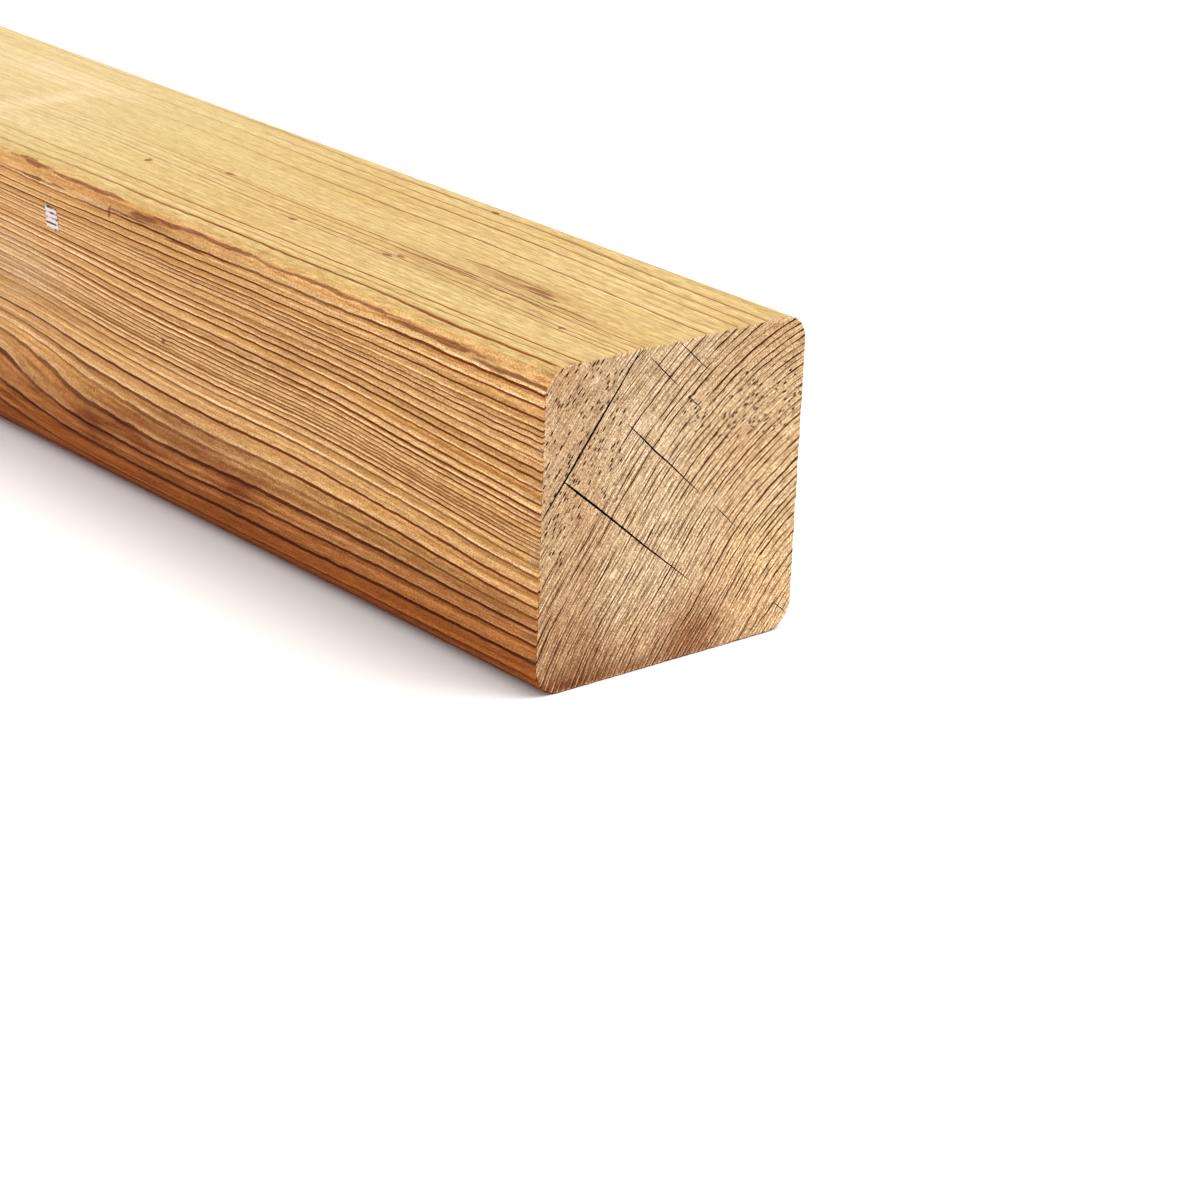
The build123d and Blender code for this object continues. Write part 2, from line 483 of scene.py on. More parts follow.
# Fibres run the length of the post: long streaks that keep to the rings, and short ones.
long_at = node(tree, "VectorMath", {0: grain, 1: (1.5, 0.5, 0.006)}, operation="MULTIPLY")
long_fibre = node(tree, "TexNoise", {"Vector": long_at, "Scale": 1.0, "Detail": 2.0, "Roughness": 0.6})
fibre_at = node(tree, "VectorMath", {0: grain, 1: (2.0, 2.0, 0.16)}, operation="MULTIPLY")
fibre = node(tree, "TexNoise", {"Vector": fibre_at, "Scale": 1.0, "Detail": 2.0, "Roughness": 0.7})
streak_at = node(tree, "VectorMath", {0: grain, 1: (0.30, 0.30, 0.010)}, operation="MULTIPLY")
streak = node(tree, "TexNoise", {"Vector": streak_at, "Scale": 1.0, "Detail": 3.0})
streak = node(tree, "MapRange", {0: streak, 1: 0.32, 2: 0.68})

# The upper face has bleached in the sun, most of all away from the cracked end, and its lines show less.
upper = node(tree, "MapRange", {0: up, 1: height - 3.5, 2: height - 0.2}, interpolation_type="SMOOTHSTEP")
early_side = node(tree, "Mix", {0: streak, 6: linear("#d9a971"), 7: linear("#c89355")}, 2, data_type="RGBA")
early_upper = node(tree, "Mix", {0: streak, 6: linear("#cbb07a"), 7: linear("#c3a569")}, 2, data_type="RGBA")
far_off = node(tree, "MapRange", {0: from_end, 1: 170.0, 2: 340.0, 3: 0.0, 4: 0.45})
early_upper = node(tree, "Mix", {0: far_off, 6: early_upper, 7: linear("#cfbd92")}, 2, data_type="RGBA")
early = node(tree, "Mix", {0: upper, 6: early_side, 7: early_upper}, 2, data_type="RGBA")
late_colour = node(tree, "Mix", {0: upper, 6: linear("#703000"), 7: linear("#7f450c")}, 2, data_type="RGBA")
faint = node(tree, "Math", {0: late, 1: year_upper}, operation="MULTIPLY", use_clamp=True)
crowded = node(tree, "MapRange", {0: ring_width, 1: 0.80, 2: 1.35, 3: 0.15, 4: 0.95})
faint = node(tree, "Math", {0: faint, 1: crowded}, operation="MULTIPLY")
bleached = node(tree, "MapRange", {0: from_end, 1: 150.0, 2: 300.0, 3: 1.0, 4: 0.20})
faint = node(tree, "Math", {0: faint, 1: bleached}, operation="MULTIPLY")
sheltered = node(tree, "MapRange", {0: across, 1: -8.0, 2: 8.0, 3: 1.0, 4: 0.80})
faint = node(tree, "Math", {0: faint, 1: sheltered}, operation="MULTIPLY")
shown = node(tree, "Mix", {0: upper, 2: line, 3: faint}, 0, data_type="FLOAT")
wood = node(tree, "Mix", {0: shown, 6: early, 7: late_colour}, 2, data_type="RGBA")
bright = node(tree, "MapRange", {0: past_edge, 1: 0.1, 2: 0.7, 3: 0.50, 4: 0.0})
bright = node(tree, "Mix", {0: upper, 2: bright, 3: 0.0}, 0, data_type="FLOAT")
wood = node(tree, "Mix", {0: bright, 6: wood, 7: linear("#efcd9c")}, 2, data_type="RGBA")

# Resin and damp have left reddish brown zones, the haze is bleached and the grime is dark.
blotch_at = node(tree, "VectorMath", {0: grain, 1: (0.4, 0.4, 0.04)}, operation="MULTIPLY")
blotch = node(tree, "TexNoise", {"Vector": blotch_at, "Scale": 1.0, "Detail": 4.0})
blotch = node(tree, "MapRange", {0: blotch, 1: 0.34, 2: 0.60, 3: 0.25, 4: 1.2})
reddened = node(tree, "Math", {0: red_and_shade, 1: blotch}, operation="MULTIPLY", use_clamp=True)
wood = tinted(tree, wood, reddened, plain, (0.50, 0.32, 0.26))
paled = node(tree, "Math", {0: pale_and_highlight, 1: blotch}, operation="MULTIPLY", use_clamp=True)
paled = node(tree, "Math", {0: paled, 1: 0.5}, operation="MULTIPLY")
wood = node(tree, "Mix", {0: paled, 6: wood, 7: linear("#d6b492")}, 2, data_type="RGBA")
dirty = node(tree, "Math", {0: grime_and_shade, 1: blotch}, operation="MULTIPLY", use_clamp=True)
wood = tinted(tree, wood, dirty, plain, (0.55, 0.44, 0.36))
# Low down the wood darkens towards the foot, and most at the foot itself: partly a damp stain, partly painted
# shade.
low_damp_and_shade = node(tree, "MapRange", {0: up, 1: 40.0, 2: 2.0}, interpolation_type="SMOOTHSTEP")
wood = tinted(tree, wood, low_damp_and_shade, plain, (0.53, 0.275, 0.11))
foot_stain_and_shade = node(tree, "MapRange", {0: up, 1: 10.0, 2: 0.0}, interpolation_type="SMOOTHSTEP")
wood = tinted(tree, wood, foot_stain_and_shade, plain, (0.70, 0.58, 0.50))

# The fibres show as fine streaks and grit, darker and lighter, and more faintly on the upper face.
long_tint = tint_of(tree, long_fibre, (0.66, 0.55, 0.40), (1.32, 1.38, 1.48))
calm = node(tree, "Mix", {0: 0.80, 4: long_tint, 5: plain}, 1, data_type="VECTOR")
wood = tinted(tree, wood, upper, long_tint, calm)
fibre_tint = tint_of(tree, fibre, (0.72, 0.64, 0.54), (1.25, 1.31, 1.38))
wood = tinted(tree, wood, worn, plain, fibre_tint)
grit_at = node(tree, "VectorMath", {0: grain, 1: (3.2, 3.2, 1.5)}, operation="MULTIPLY")
grit = node(tree, "TexNoise", {"Vector": grit_at, "Scale": 1.0, "Detail": 1.0, "Roughness": 0.6})
grit_tint = tint_of(tree, grit, (0.68, 0.61, 0.52), (1.26, 1.32, 1.38))
gritty = node(tree, "Mix", {0: upper, 2: worn, 3: 0.22}, 0, data_type="FLOAT")
wood = tinted(tree, wood, gritty, plain, grit_tint)

# Small marks of dirt, and the broken dark streak along the -Y upper arris: how far from the cracked end,
# across and up each one lies, and its reach along and across. Their outlines are ragged, and grit shows.
marks = [
    (221, -16.5, height, 1.6, 1.5), (195, -5.0, height, 2.8, 0.9), (146, -17.7, height, 1.9, 1.3),
    (103, -17.0, height, 2.4, 1.2), (100, -14.6, height, 2.0, 0.8), (120, 34.7, height, 2.2, 1.2),
    (25, -19.5, height, 1.6, 0.9), (74, -1.0, height, 20, 0.5), (54, -3.6, height, 9, 0.9),
    (49, -5.6, height, 8, 0.8), (88, -10.0, height, 22, 0.5), (52, -12.0, height, 18, 0.5),
    (34, -8.6, height, 12, 0.5), (199, side_y, 83.6, 0.9, 2.2), (171, side_y, 52.0, 1.4, 0.9),
    (48, side_y, 85.5, 1.6, 1.2), (12, side_y + 0.4, 84.8, 24, 0.8), (46, side_y + 1.1, 86.0, 28, 0.8),
    (94, side_y + 1.6, 86.9, 44, 0.7), (150, side_y + 1.7, 87.1, 30, 0.75),
    (172, side_y + 1.4, 86.7, 10, 0.8), (182, side_y + 1.0, 85.6, 8, 0.7), (190, side_y + 0.6, 84.6, 12, 0.5),
    (214, side_y + 2.2, 87.8, 26, 0.9), (243, side_y + 2.6, 88.2, 15, 1.0),
    (236, side_y + 0.6, 84.6, 16, 0.6), (160, side_y, 82.6, 12, 0.5),
]
spot_edge = 1.3
jitter_at = node(tree, "VectorMath", {0: here, 1: (0.10, 0.5, 0.5)}, operation="MULTIPLY")
jitter = node(tree, "TexNoise", {"Vector": jitter_at, "Scale": 1.0, "Detail": 2.0}, 1)
mark_at = node(tree, "VectorMath", {0: jitter, 1: (2.4, 1.8, 1.8), 2: here}, operation="MULTIPLY_ADD")
mark_at = node(tree, "VectorMath", {0: mark_at, 1: (1.2, 0.9, 0.9)}, operation="SUBTRACT")
smudges = spotted(tree, mark_at, [(*mark, mark[-1]) for mark in marks], 0.4, 1.0)
worn_through = node(tree, "MapRange", {0: fibre, 1: 0.36, 2: 0.56, 3: 0.55, 4: 0.88})
rubbed = node(tree, "Math", {0: grit, 1: 1.3, 2: smudges}, operation="MULTIPLY_ADD")
smudges = node(tree, "MapRange", {0: rubbed, 1: 0.92, 2: 1.40})
smudges = node(tree, "Math", {0: smudges, 1: worn_through}, operation="MULTIPLY")
wood = node(tree, "Mix", {0: smudges, 6: wood, 7: linear("#763c1f")}, 2, data_type="RGBA")

# Something heavy was dragged over the upper face and left two pale scuffs across each other.
scuffs = [(298.2, 1.1, height - 0.9, 7, 36, 5), (323.2, 19.1, height - 0.9, 44, 9, 5)]
scuffed = spotted(tree, mark_at, scuffs, 0.1, 0.40)
scuffed = node(tree, "Math", {0: scuffed, 1: blotch}, operation="MULTIPLY")
wood = node(tree, "Mix", {0: scuffed, 6: wood, 7: linear("#e2c8a8")}, 2, data_type="RGBA")

raised = node(tree, "Math", {0: line, 1: 0.04}, operation="MULTIPLY")
raised = node(tree, "Math", {0: fibre, 1: 0.035, 2: raised}, operation="MULTIPLY_ADD")
raised = node(tree, "Math", {0: grit, 1: 0.03, 2: raised}, operation="MULTIPLY_ADD")
relief = node(tree, "Bump", {"Strength": 1.0, "Distance": MM, "Height": raised})
skin = {"Base Color": wood, "Roughness": 0.7, "Specular IOR Level": 0.08, "Normal": relief}
skin = node(tree, "BsdfPrincipled", skin)
node(tree, "OutputMaterial", {"Surface": skin})

# Sawn end grain: the cut ends of the fibres, dry and pale, with each ring as a fine dark groove, and torn
# fibres. The saw's marks are drawn half a millimetre apart, coarser than real ones, so that they show.
sawn, tree = material("sawn end grain")
grain, (red_and_shade, pale_and_highlight, grime_and_shade), (ring, ring_width, bold) = wood_facts(tree)
from_pith = node(tree, "SeparateXYZ", {0: grain})
way_round_pith = from_pith.node.outputs[1]
ragged = node(tree, "Attribute", attribute_name="torn", out=2)
here = place_in_mm(tree)
groove_edge, groove_core = 0.46, 0.32
quick = node(tree, "VectorMath", {0: grain, 1: (0.45, 0.12, 0.02)}, operation="MULTIPLY")
tremble = node(tree, "TexNoise", {"Vector": quick, "Scale": 1.0, "Detail": 3.0})
tremble = node(tree, "MapRange", {0: tremble, 1: 0.0, 2: 1.0, 3: -0.25, 4: 0.25})
count = node(tree, "Math", {0: tremble, 1: ring}, operation="ADD")
to_edge, past_edge, year = in_ring(tree, count, ring_width)
to_edge = node(tree, "Math", {0: bold, 1: -0.20, 2: to_edge}, operation="MULTIPLY_ADD")
late = node(tree, "MapRange", {0: to_edge, 1: groove_edge, 2: groove_core, 3: 0.0, 4: 1.0})
year = node(tree, "Math", {0: year, 1: 2.0}, operation="POWER")
strength = node(tree, "MapRange", {0: year, 1: 0.0, 2: 1.0, 3: 0.40, 4: 1.0})
strength = node(tree, "Math", {0: bold, 1: 0.9, 2: strength}, operation="MULTIPLY_ADD")
patch = node(tree, "VectorMath", {0: grain, 1: (0.35, 0.09, 0.02)}, operation="MULTIPLY")
patch = node(tree, "TexNoise", {"Vector": patch, "Scale": 1.0, "Detail": 3.0})
fade = node(tree, "MapRange", {0: patch, 1: 0.36, 2: 0.62, 3: 0.48, 4: 1.5})
line = node(tree, "Math", {0: late, 1: strength}, operation="MULTIPLY")
line = node(tree, "Math", {0: line, 1: fade}, operation="MULTIPLY", use_clamp=True)

# The saw has dragged the fibres: fine arcs beside the rings, specks, faint rays across, and pits, half a
# millimetre wide and drawn out along the rings, in the torn zones.
saw_at = node(tree, "VectorMath", {0: grain, 1: (1.9, 0.20, 0.3)}, operation="MULTIPLY")
saw = node(tree, "TexNoise", {"Vector": saw_at, "Scale": 1.0, "Detail": 2.0, "Roughness": 0.7})
ray_at = node(tree, "VectorMath", {0: grain, 1: (0.10, 1.5, 0.3)}, operation="MULTIPLY")
ray = node(tree, "TexNoise", {"Vector": ray_at, "Scale": 1.0, "Detail": 2.0})
speckle = node(tree, "TexNoise", {"Vector": here, "Scale": 2.3, "Detail": 1.0, "Roughness": 0.7})
torn_at = node(tree, "VectorMath", {0: grain, 1: (1.4, 0.55, 0.0)}, operation="MULTIPLY")
pit = node(tree, "TexVoronoi", {"Vector": torn_at, "Scale": 1.0})
chance = node(tree, "SeparateXYZ", {0: pit.node.outputs[1]})
loose = node(tree, "Math", {0: ragged, 1: 0.64}, operation="MULTIPLY")
chance = node(tree, "Math", {0: loose, 1: chance}, operation="SUBTRACT")
chance = node(tree, "MapRange", {0: chance, 1: 0.15, 2: 0.22})
torn = node(tree, "MapRange", {0: pit, 1: 0.42, 2: 0.30})
torn = node(tree, "Math", {0: torn, 1: chance}, operation="MULTIPLY")

# The narrow rings stand as threads between the bolder ones. Both fade where the fibres are torn. The threads
# fade to the upper right as well, seen from outside, where the bold ones are darkest.
thread_pitch = 1.1
thread = node(tree, "Math", {0: tremble, 1: 1.6, 2: from_pith}, operation="MULTIPLY_ADD")
thread = node(tree, "Math", {0: thread, 1: 2 * math.pi / thread_pitch}, operation="MULTIPLY")
thread = node(tree, "Math", {0: thread}, operation="SINE")
thread = node(tree, "MapRange", {0: thread, 1: -0.1, 2: 0.8, 3: 0.0, 4: 0.54})
thread = node(tree, "Math", {0: thread, 1: fade}, operation="MULTIPLY")
wide_from, wide_until = 120.0, 165.0
open_grown = node(tree, "MapRange", {0: way_round_pith, 1: wide_from, 2: wide_until, 3: 1.0, 4: 0.40})
thread = node(tree, "Math", {0: thread, 1: open_grown}, operation="MULTIPLY")
torn_from, torn_full = 0.2, 1.0
kept = node(tree, "MapRange", {0: ragged, 1: torn_from, 2: torn_full, 3: 1.0, 4: 0.40})
thread = node(tree, "Math", {0: thread, 1: kept}, operation="MULTIPLY")
line = node(tree, "Math", {0: line, 1: kept}, operation="MULTIPLY")
dark_grown = node(tree, "MapRange", {0: way_round_pith, 1: wide_from, 2: wide_until, 3: 1.0, 4: 1.45})
line = node(tree, "Math", {0: line, 1: dark_grown}, operation="MULTIPLY", use_clamp=True)

# Under the lines the cut wood is pale, warmer towards the +Y face, darkened at the foot by stain and painted
# shade, and paler at the rim with a painted highlight.
earth = node(tree, "TexNoise", {"Vector": here, "Scale": 0.03, "Detail": 3.0})
earth = node(tree, "MapRange", {0: earth, 1: 0.35, 2: 0.65})
wood = node(tree, "Mix", {0: earth, 6: linear("#dec29f"), 7: linear("#d8b68f")}, 2, data_type="RGBA")
across = node(tree, "SeparateXYZ", {0: here}, out=1)
warm = node(tree, "MapRange", {0: across, 1: 0.0, 2: 34.0})
wood = tinted(tree, wood, warm, plain, (1.03, 0.96, 0.84))
wood = tinted(tree, wood, red_and_shade, plain, (0.42, 0.23, 0.16))
wood = tinted(tree, wood, grime_and_shade, plain, (0.72, 0.61, 0.52))
wood = node(tree, "Mix", {0: pale_and_highlight, 6: wood, 7: linear("#ecca98")}, 2, data_type="RGBA")
browned = node(tree, "MapRange", {0: way_round_pith, 1: wide_from, 2: wide_until, 3: 1.0, 4: 0.86})
wood = node(tree, "VectorMath", {0: wood, "Scale": browned}, operation="SCALE")
browned = node(tree, "MapRange", {0: ragged, 1: torn_from, 2: torn_full, 3: 1.0, 4: 0.91})
wood = node(tree, "VectorMath", {0: wood, "Scale": browned}, operation="SCALE")
# A thin pale band beside each dark groove is a painted highlight, for the light on the groove's edge.
bright = node(tree, "MapRange", {0: past_edge, 1: 0.0, 2: 0.5, 3: 0.5, 4: 0.0})
wood = node(tree, "Mix", {0: bright, 6: wood, 7: linear("#e6c8a0")}, 2, data_type="RGBA")
wood = node(tree, "Mix", {0: thread, 6: wood, 7: linear("#5f3814")}, 2, data_type="RGBA")
wood = node(tree, "Mix", {0: line, 6: wood, 7: linear("#4c2706")}, 2, data_type="RGBA")
wood = node(tree, "Mix", {0: torn, 6: wood, 7: linear("#3c1a0a")}, 2, data_type="RGBA")
saw_tint = tint_of(tree, saw, (0.60, 0.52, 0.43), (1.38, 1.46, 1.54))
wood = node(tree, "VectorMath", {0: wood, 1: saw_tint}, operation="MULTIPLY")
ray_tint = node(tree, "MapRange", {0: ray, 1: 0.3, 2: 0.7, 3: 0.92, 4: 1.08})
wood = node(tree, "VectorMath", {0: wood, "Scale": ray_tint}, operation="SCALE")
fleck_tint = tint_of(tree, speckle, (0.58, 0.50, 0.42), (1.42, 1.48, 1.54))
wood = node(tree, "VectorMath", {0: wood, 1: fleck_tint}, operation="MULTIPLY")
raised = node(tree, "Math", {0: saw, 1: 0.14}, operation="MULTIPLY")
raised = node(tree, "Math", {0: speckle, 1: 0.12, 2: raised}, operation="MULTIPLY_ADD")
raised = node(tree, "Math", {0: thread, 1: -0.10, 2: raised}, operation="MULTIPLY_ADD")
raised = node(tree, "Math", {0: torn, 1: -0.15, 2: raised}, operation="MULTIPLY_ADD")
raised = node(tree, "Math", {0: line, 1: -0.10, 2: raised}, operation="MULTIPLY_ADD")
relief = node(tree, "Bump", {"Strength": 1.0, "Distance": MM, "Height": raised})
skin = {"Base Color": wood, "Roughness": 0.85, "Specular IOR Level": 0.05, "Normal": relief}
skin = node(tree, "BsdfPrincipled", skin)
node(tree, "OutputMaterial", {"Surface": skin})

# Split wood inside the checks: dark brown, which is painted shade for the depth of the checks.
split, tree = material("split wood with painted shade")
along = node(tree, "VectorMath", {0: place_in_mm(tree), 1: (0.12, 1.4, 1.4)}, operation="MULTIPLY")
streak = node(tree, "TexNoise", {"Vector": along, "Scale": 1.0, "Detail": 3.0})
check_shade = node(tree, "Mix", {0: streak, 6: linear("#28150b"), 7: linear("#452512")}, 2, data_type="RGBA")
skin = node(tree, "BsdfPrincipled", {"Base Color": check_shade, "Roughness": 0.9, "Specular IOR Level": 0.1})
node(tree, "OutputMaterial", {"Surface": skin})
wears = (planed, sawn, split)


def fill_mesh(name, places, faces, wear):
    """A mesh from points in mm and equal-sided faces, where wear says which of the finishes each face has."""
    made = bpy.data.meshes.new(name)
    made.vertices.add(len(places))
    made.vertices.foreach_set("co", (places * MM).astype(np.float32).ravel())
    sides = faces.shape[1]
    made.loops.add(faces.size)
    made.loops.foreach_set("vertex_index", faces.astype(np.int32).ravel())
    made.polygons.add(len(faces))
    made.polygons.foreach_set("loop_start", np.arange(0, faces.size, sides, dtype=np.int32))
    for finish in wears:
        made.materials.append(finish)
    made.update(calc_edges=True)
    made.polygons.foreach_set("material_index", np.broadcast_to(wear, len(faces)).astype(np.int32))
    return made


planed_wear, sawn_wear, split_wear = range(len(wears))
wear = np.repeat([sawn_wear, planed_wear], [len(near_quads) + len(far_quads), len(belt)])
whole_mesh = fill_mesh("wooden post", points, quads, wear)
whole = bpy.data.objects.new("wooden post", whole_mesh)
scene.collection.objects.link(whole)

# Each check is a wedge cut into the +X end. Its line wanders between its tips and it narrows inwards. Tips
# are shares of the section, across from the -Y face and up from the base. Mouths and depths are in mm.
checks = {
    "ring shake": dict(start=(0.362, 1.012), end=(-0.004, 0.541), widest=0.62, mouth=0.80, depth=46.0),
    "long check": dict(start=(0.074, 0.658), end=(0.589, 0.236), widest=0.12, mouth=0.66, depth=60.0),
    "middle check": dict(start=(0.308, 0.785), end=(0.611, 0.507), widest=0.35, mouth=0.48, depth=30.0),
    "upper check": dict(start=(0.383, 0.972), end=(0.502, 0.860), widest=0.45, mouth=0.34, depth=18.0),
    "top check": dict(start=(0.494, 0.996), end=(0.622, 0.884), widest=0.40, mouth=0.32, depth=16.0),
    "short check": dict(start=(0.538, 0.824), end=(0.594, 0.776), widest=0.50, mouth=0.32, depth=10.0),
    "faint check": dict(start=(0.655, 0.470), end=(0.768, 0.366), widest=0.45, mouth=0.24, depth=9.0),
    "corner shake": dict(start=(0.995, 0.150), end=(0.836, 0.004), widest=0.45, mouth=0.34, depth=14.0),
    "corner check": dict(start=(0.933, 0.094), end=(0.990, 0.042), widest=0.30, mouth=0.30, depth=10.0),
}
check_stations = 36
check_overrun = 0.8
root_length = 0.55
root_breadth = 0.4
tip_breadth = 0.012


def check_wedge(seed, start, end, widest, mouth, depth):
    """A closed wedge: a thin leaf on the end face, lofted inwards to a thinner and shorter one, in mm.

    The leaf's middle line is the straight one between its tips plus a sum of small sine waves. Its breadth
    grows from each tip to the widest place by a power curve, and ripples a little.
    """
    tip_a = np.array([(start[0] - 0.5) * width, start[1] * height])
    tip_b = np.array([(end[0] - 0.5) * width, end[1] * height])
    run = tip_b - tip_a
    reach = np.hypot(*run)
    share = np.linspace(0, 1, check_stations)
    draw = np.random.default_rng(seed)
    sway = sum(draw.normal() * 0.16 / k * np.sin(k * np.pi * share + draw.normal()) for k in (2, 3, 5, 8, 13))
    sway *= np.sin(np.pi * share)
    breadth = np.where(share < widest, share / widest, (1 - share) / (1 - widest)) ** 0.42
    breadth = mouth / 2 * breadth * (1 + 0.12 * np.sin(share * reach * 2.1)) + tip_breadth
    line = tip_a + share[:, None] * run
    square = np.array([-run[1], run[0]]) / reach
    left = line + square * (sway + breadth)[:, None]
    right = line + square * (sway - breadth)[:, None]
    outline = np.concatenate([left, right[::-1]])
    heart = tip_a + run * widest
    off_heart = outline - heart
    down_line = (off_heart @ run / reach ** 2)[:, None] * run
    root = heart + down_line * root_length + (off_heart - down_line) * root_breadth
    count = len(outline)
    front = np.column_stack([np.full(count, end_x + check_overrun), outline])
    back = np.column_stack([np.full(count, end_x - depth), root])
    here = np.arange(count)
    after = np.roll(here, -1)
    walls = np.stack([here, after, after + count, here + count], axis=-1)
    k = np.arange(check_stations - 1)
    strip = np.stack([k, count - 1 - k, count - 2 - k, k + 1], axis=-1)
    return np.concatenate([front, back]), np.concatenate([walls, strip, strip[:, ::-1] + count])


first_seed = 20
for number, (name, facts) in enumerate(checks.items()):
    places, faces = check_wedge(first_seed + number, **facts)
    wedge_mesh = fill_mesh(name, places, faces, split_wear)
    wedge = bpy.data.objects.new(name, wedge_mesh)
    scene.collection.objects.link(wedge)
    cut = whole.modifiers.new(name, "BOOLEAN")
    cut.operation = "DIFFERENCE"
    cut.solver = "MANIFOLD"
    cut.material_mode = "INDEX"
    cut.object = wedge

cut_mesh = bpy.data.meshes.new_from_object(whole.evaluated_get(bpy.context.evaluated_depsgraph_get()))
for name in checks:
    bpy.data.objects.remove(bpy.data.objects[name])
bpy.data.objects.remove(whole)
cut_mesh.name = "wooden post"
post = bpy.data.objects.new("wooden_post", cut_mesh)
scene.collection.objects.link(post)

# Each point carries what the materials read: its place in the rings, its stains with painted shade and
# highlight among them, and how torn the wood is.
# Points this near the plane of an end count as its face.
end_skin = 0.35
places = np.empty(len(cut_mesh.vertices) * 3, np.float32)
cut_mesh.vertices.foreach_get("co", places)
places = places.reshape(-1, 3).astype(float) / MM
x, y, z = places.T
on_end = np.abs(x) > end_x - end_skin
radius, around, count, ring_width, bold = grain_at(x, y, z)
bold = np.where(on_end & (radius > 196), -0.35 * smooth_step(radius, 196, 218), bold)


def stained(patches):
    """The sum of soft oval patches: strength, reach along and across, way from the end, across and up."""
    total = np.zeros(len(x))
    for strength, long, wide, from_end, across, up in patches:
        far = ((end_x - x - from_end) / long) ** 2 + ((y - across) ** 2 + (z - up) ** 2) / wide ** 2
        total += strength * np.exp(-far)
    return total


red_and_shade = stained([
    (0.60, 46, 12, 165, side_y, 20), (0.50, 13, 6, 160, side_y, 29), (0.50, 12, 5, 190, side_y, 20),
    (0.40, 10, 8, 134, side_y, 20), (0.70, 12, 7, 212, side_y, 15), (0.45, 90, 9, 360, side_y, 18),
    (0.35, 60, 12, 270, side_y, 12), (0.30, 60, 8, 90, side_y, 14), (0.30, 60, 2.0, 205, side_y + 1, 86),
    (0.30, 14, 3.0, 178, side_y + 1, 85.5), (0.18, 75, 1.5, 70, side_y + 1, 84.5),
    (0.60, 24, 3.0, 60, -3, height), (0.35, 40, 7.0, 70, -12, height), (0.60, 70, 9, 640, 10, height),
    (0.60, 90, 12, 800, side_y, 30), (0.60, 110, 13, 520, width / 2, 62), (0.50, 80, 10, 930, width / 2, 20),
])
pale_and_highlight = stained([(0.90, 42, 13, 262, side_y, 54), (0.50, 60, 16, 335, -10, height)])
grime_and_shade = stained([
    (0.70, 3.5, 2.0, 171, side_y, 52), (0.35, 16, 5, 110, side_y, 65), (0.30, 30, 5, 130, side_y, 56),
])


def zone(across, up, wide, tall):
    """How much each point of the section lies in a soft oval, in mm."""
    return np.exp(-((y - across) / wide) ** 2 - ((z - up) / tall) ** 2)


# The ends: a red stain at the foot, grime and painted shade darkening the foot, grime at the -Y side and on
# top, and a pale rim that is a painted highlight.
end_red_and_shade = 0.9 * zone(10, 6, 11, 10) + 0.7 * np.exp(-(z / 5) ** 2) * smooth_step(-y, -16, 10)
end_red_and_shade += 0.45 * zone(-34, 4, 22, 14) + 0.03 * zone(34, 20, 14, 16)
end_grime_and_shade = 0.75 * smooth_step(-y, 14, 34) + 0.6 * zone(30, 84, 20, 9) + 0.35 * zone(8, 8, 20, 14)
end_grime_and_shade += 0.5 * zone(-34, 6, 16, 14) + 0.3 * zone(-10, 82, 20, 9)
end_grime_and_shade *= np.where(x > 0, 1.0, 0.5)
# Along the rim a band half a millimetre wide is made pale: a painted highlight where the eased edge meets the
# light.
rim_depth = width / 2 - np.maximum(np.abs(y), np.abs(z - height / 2))
end_pale_and_rim_highlight = 0.7 * np.exp(-(rim_depth / 0.5) ** 2) + 0.55 * zone(33, 20, 13, 14)
red_and_shade = np.where(on_end, end_red_and_shade, red_and_shade)
pale_and_highlight = np.where(on_end, end_pale_and_rim_highlight, pale_and_highlight)
grime_and_shade = np.where(on_end, end_grime_and_shade, grime_and_shade)
torn = 0.95 * smooth_step(-y, 14, 26) * smooth_step(z, 40, 62) + 1.5 * zone(30, 67, 15, 8)
torn += 0.9 * zone(7, 70, 4, 5) + 1.0 * zone(-39, 45, 5, 8) + 0.2

for name, layer in (
    ("grain", (radius, around, x)),
    ("rings", (count, ring_width, bold)),
    ("tone", np.clip((red_and_shade, pale_and_highlight, grime_and_shade), 0, 1)),
):
    attribute = cut_mesh.attributes.new(name, "FLOAT_VECTOR", "POINT")
    attribute.data.foreach_set("vector", np.column_stack(layer).astype(np.float32).ravel())
torn_layer = cut_mesh.attributes.new("torn", "FLOAT", "POINT")
torn_layer.data.foreach_set("value", np.clip(torn, 0, 1).astype(np.float32))


def way_round(y, z):
    """How far round the outline each point lies, in mm, from the middle of the underside towards +Y.

    On a flat it is the distance along it, and on an arris the angle turned times the radius.
    """
    flat = width / 2 - arris_radius
    turn = arris_radius * math.pi / 2
    side = 2 * flat + turn
    up = z - height / 2
    over_y = np.clip(np.abs(y) - flat, 0, None)
    over_z = np.clip(np.abs(up) - flat, 0, None)
    lean = np.arctan2(over_y, over_z) * arris_radius
    level = np.abs(up) >= np.abs(y)
    in_corner = (over_y > 0) & (over_z > 0)
    below = np.where(y >= 0, y, 4 * side + y)
    below = np.where(in_corner, np.where(y >= 0, flat + lean, 4 * side - flat - lean), below)
    above = np.where(in_corner, 2 * side - np.sign(y) * (flat + lean), 2 * side - y)
    upright = np.where(y > 0, side + up, 3 * side - up)
    return np.where(in_corner | level, np.where(up < 0, below, above), upright)


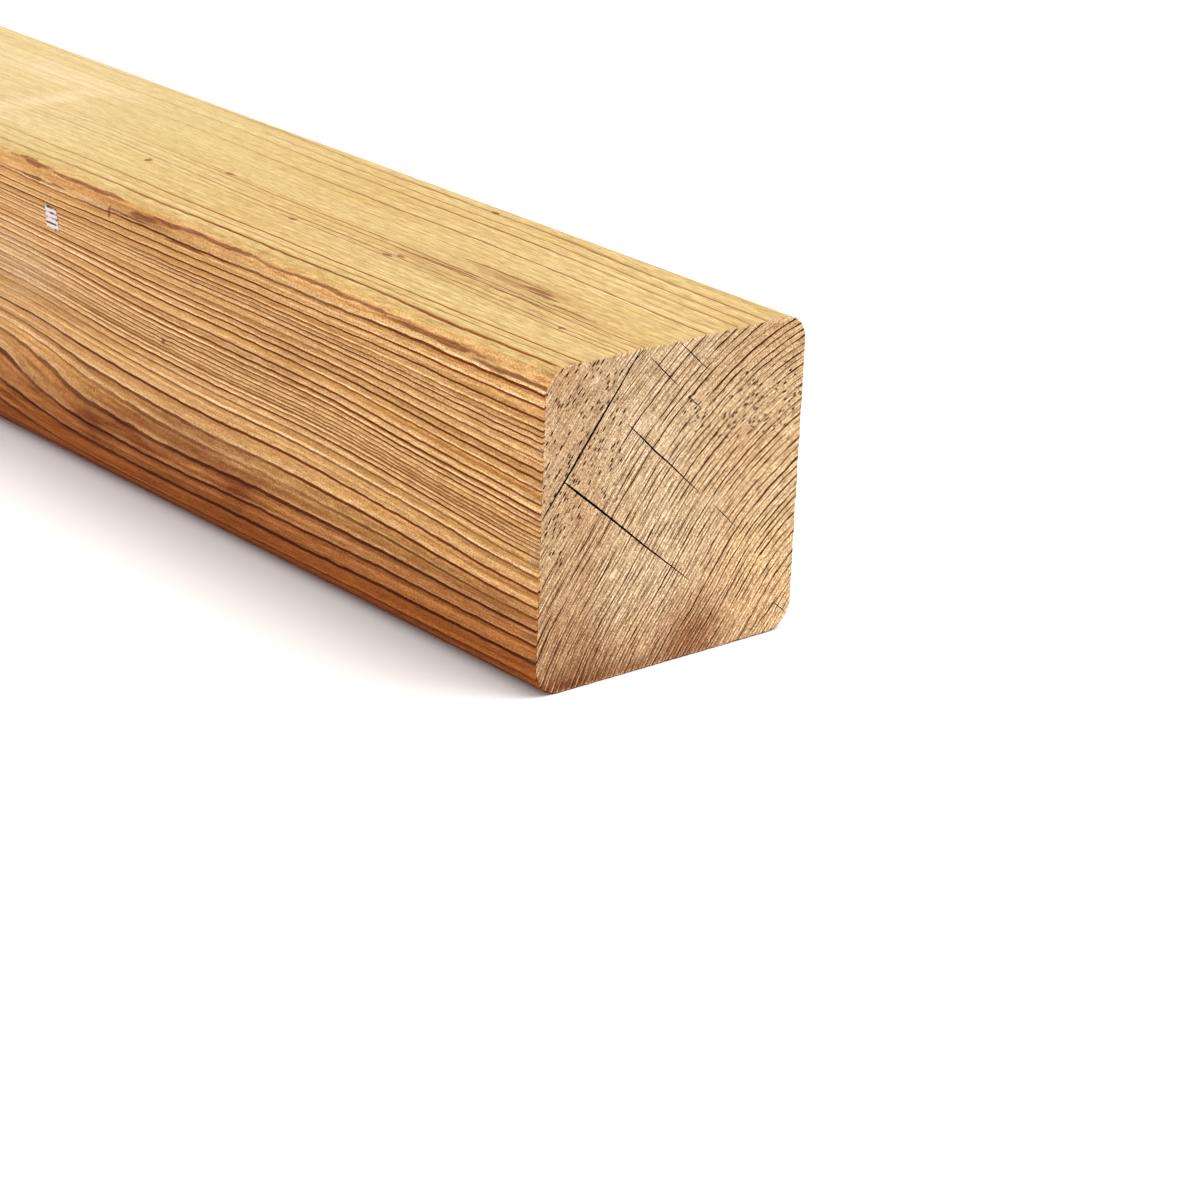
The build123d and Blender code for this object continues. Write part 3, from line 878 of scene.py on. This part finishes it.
# A flat pattern of the post for its surface map: the four long faces unrolled into a strip, and in the column
# beside it the split wood, the far end and the near end. Places and sizes on it are shares of its side.
strip_left, strip_breadth = 0.012, 0.735
strip_bottom, strip_tall = 0.006, 0.988
column_left, column_breadth = 0.765, 0.225
near_bottom, near_tall = 0.600, 0.390
far_bottom, far_tall = 0.340, 0.235
split_bottom, split_tall = 0.010, 0.300
split_depth = 62.0
strip_spare = 2.0
loop_total = len(cut_mesh.loops)
loop_vertex = np.empty(loop_total, np.int32)
cut_mesh.loops.foreach_get("vertex_index", loop_vertex)
face_total = len(cut_mesh.polygons)
face_finish = np.empty(face_total, np.int32)
cut_mesh.polygons.foreach_get("material_index", face_finish)
face_sides = np.empty(face_total, np.int32)
cut_mesh.polygons.foreach_get("loop_total", face_sides)
loop_finish = np.repeat(face_finish, face_sides)
face_start = np.concatenate([[0], np.cumsum(face_sides)[:-1]])
girth = 4 * (2 * (width / 2 - arris_radius) + arris_radius * math.pi / 2)
loop_round = way_round(y, z)[loop_vertex]
first_round = np.repeat(loop_round[face_start], face_sides)
loop_round -= np.rint((loop_round - first_round) / girth) * girth
loop_x, loop_y, loop_z = x[loop_vertex], y[loop_vertex], z[loop_vertex]
strip_u = strip_left + strip_breadth * (loop_round + strip_spare) / (girth + 2 * strip_spare)
strip_v = strip_bottom + strip_tall * (loop_x + end_x) / length
cut_u = column_left + column_breadth * (loop_y / width + 0.5)
cut_bottom = np.where(loop_x > 0, near_bottom, far_bottom)
cut_v = cut_bottom + np.where(loop_x > 0, near_tall, far_tall) * loop_z / height
split_u = column_left + column_breadth * np.clip((end_x - loop_x) / split_depth, 0, 1)
split_v = split_bottom + split_tall * loop_z / height
pattern_u = np.choose(loop_finish, [strip_u, cut_u, split_u])
pattern_v = np.choose(loop_finish, [strip_v, cut_v, split_v])
pattern = cut_mesh.uv_layers.new(name="OFBake")
pattern.data.foreach_set("uv", np.column_stack([pattern_u, pattern_v]).astype(np.float32).ravel())

sharp_angle = math.radians(38)
cut_mesh.polygons.foreach_set("use_smooth", np.ones(face_total, bool))
cut_mesh.set_sharp_from_angle(angle=sharp_angle)
cut_mesh.update()

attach(post, "root")
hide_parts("post")

# The label scrap is a torn bit of printed paper, glued on and left when the rest of the label came away.
# Matt paper that has greyed, with its print worn to a few plain dark bands.
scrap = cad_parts["label_scrap"]
band_pitch = 1.55
paper, tree = material("printed label paper")
here = place_in_mm(tree)
scrap_low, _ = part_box("label_scrap")
up = node(tree, "SeparateXYZ", {0: here}, out=2)
bands = node(tree, "Math", {0: up, 1: scrap_low.z / MM}, operation="SUBTRACT")
bands = node(tree, "Math", {0: bands, 1: 2 * math.pi / band_pitch}, operation="MULTIPLY")
bands = node(tree, "Math", {0: bands}, operation="SINE")
bands = node(tree, "MapRange", {0: bands, 1: 0.1, 2: 0.4})
smudge = node(tree, "TexNoise", {"Vector": here, "Scale": 0.7, "Detail": 3.0})
smudge = node(tree, "MapRange", {0: smudge, 1: 0.4, 2: 0.6, 3: 0.2, 4: 1.0})
bands = node(tree, "Math", {0: bands, 1: smudge}, operation="MULTIPLY")
print_colour = {0: bands, 6: linear("#e4d4cf"), 7: linear("#3a2426")}
print_colour = node(tree, "Mix", print_colour, 2, data_type="RGBA")
skin = node(tree, "BsdfPrincipled", {"Base Color": print_colour, "Roughness": 0.7})
node(tree, "OutputMaterial", {"Surface": skin})
scrap.data.materials.clear()
scrap.data.materials.append(paper)
